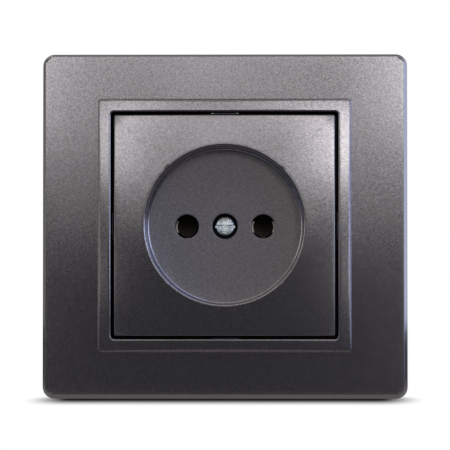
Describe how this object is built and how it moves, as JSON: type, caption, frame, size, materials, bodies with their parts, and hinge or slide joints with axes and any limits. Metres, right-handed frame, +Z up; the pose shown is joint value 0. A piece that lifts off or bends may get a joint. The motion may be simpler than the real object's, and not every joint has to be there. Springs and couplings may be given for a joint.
{
  "type": "wall socket",
  "caption": "Flush wall socket with a round two-pin plug recess, square cover plate, raised ring and metallic frame over a steel bracket and insulating base.",
  "frame": {"origin": "on the axis of the plug recess, in the plane of the wall surface (the bracket's and the frame's back)", "axes": "X to the right seen from the room, Z up, the front faces -Y and the part inside the wall box points to +Y"},
  "size_m": [0.0908, 0.0345, 0.0858],
  "materials": {
    "graphite_lacquer": "satin metallic lacquer",
    "zinc_plated_steel": "zinc plated",
    "moulded_base": "moulded, matt",
    "moulded_cover": "moulded, matt",
    "turned_brass": "turned",
    "sheet_brass": "pressed sheet",
    "spring_steel": "hardened, bright",
    "rivet_steel": "nickel plated",
    "screw_steel": "zinc plated, yellow passivated"
  },
  "bodies": {
    "root": {"outer_frame": "graphite_lacquer", "trim_ring": "graphite_lacquer", "cover_plate": "graphite_lacquer", "cover_screw": "zinc_plated_steel", "mounting_bracket": "zinc_plated_steel", "base_housing": "moulded_base", "contact_cover": "moulded_cover", "threaded_insert": "turned_brass", "contact_left": "sheet_brass", "contact_right": "sheet_brass", "terminal_block_left": "turned_brass", "terminal_block_right": "turned_brass", "spring_clip_left": "spring_steel", "spring_clip_right": "spring_steel", "rivet_left": "rivet_steel", "rivet_right": "rivet_steel", "terminal_screw_left_outer": "screw_steel", "terminal_screw_left_inner": "screw_steel", "terminal_screw_right_inner": "screw_steel", "terminal_screw_right_outer": "screw_steel"}
  },
  "joints": []
}
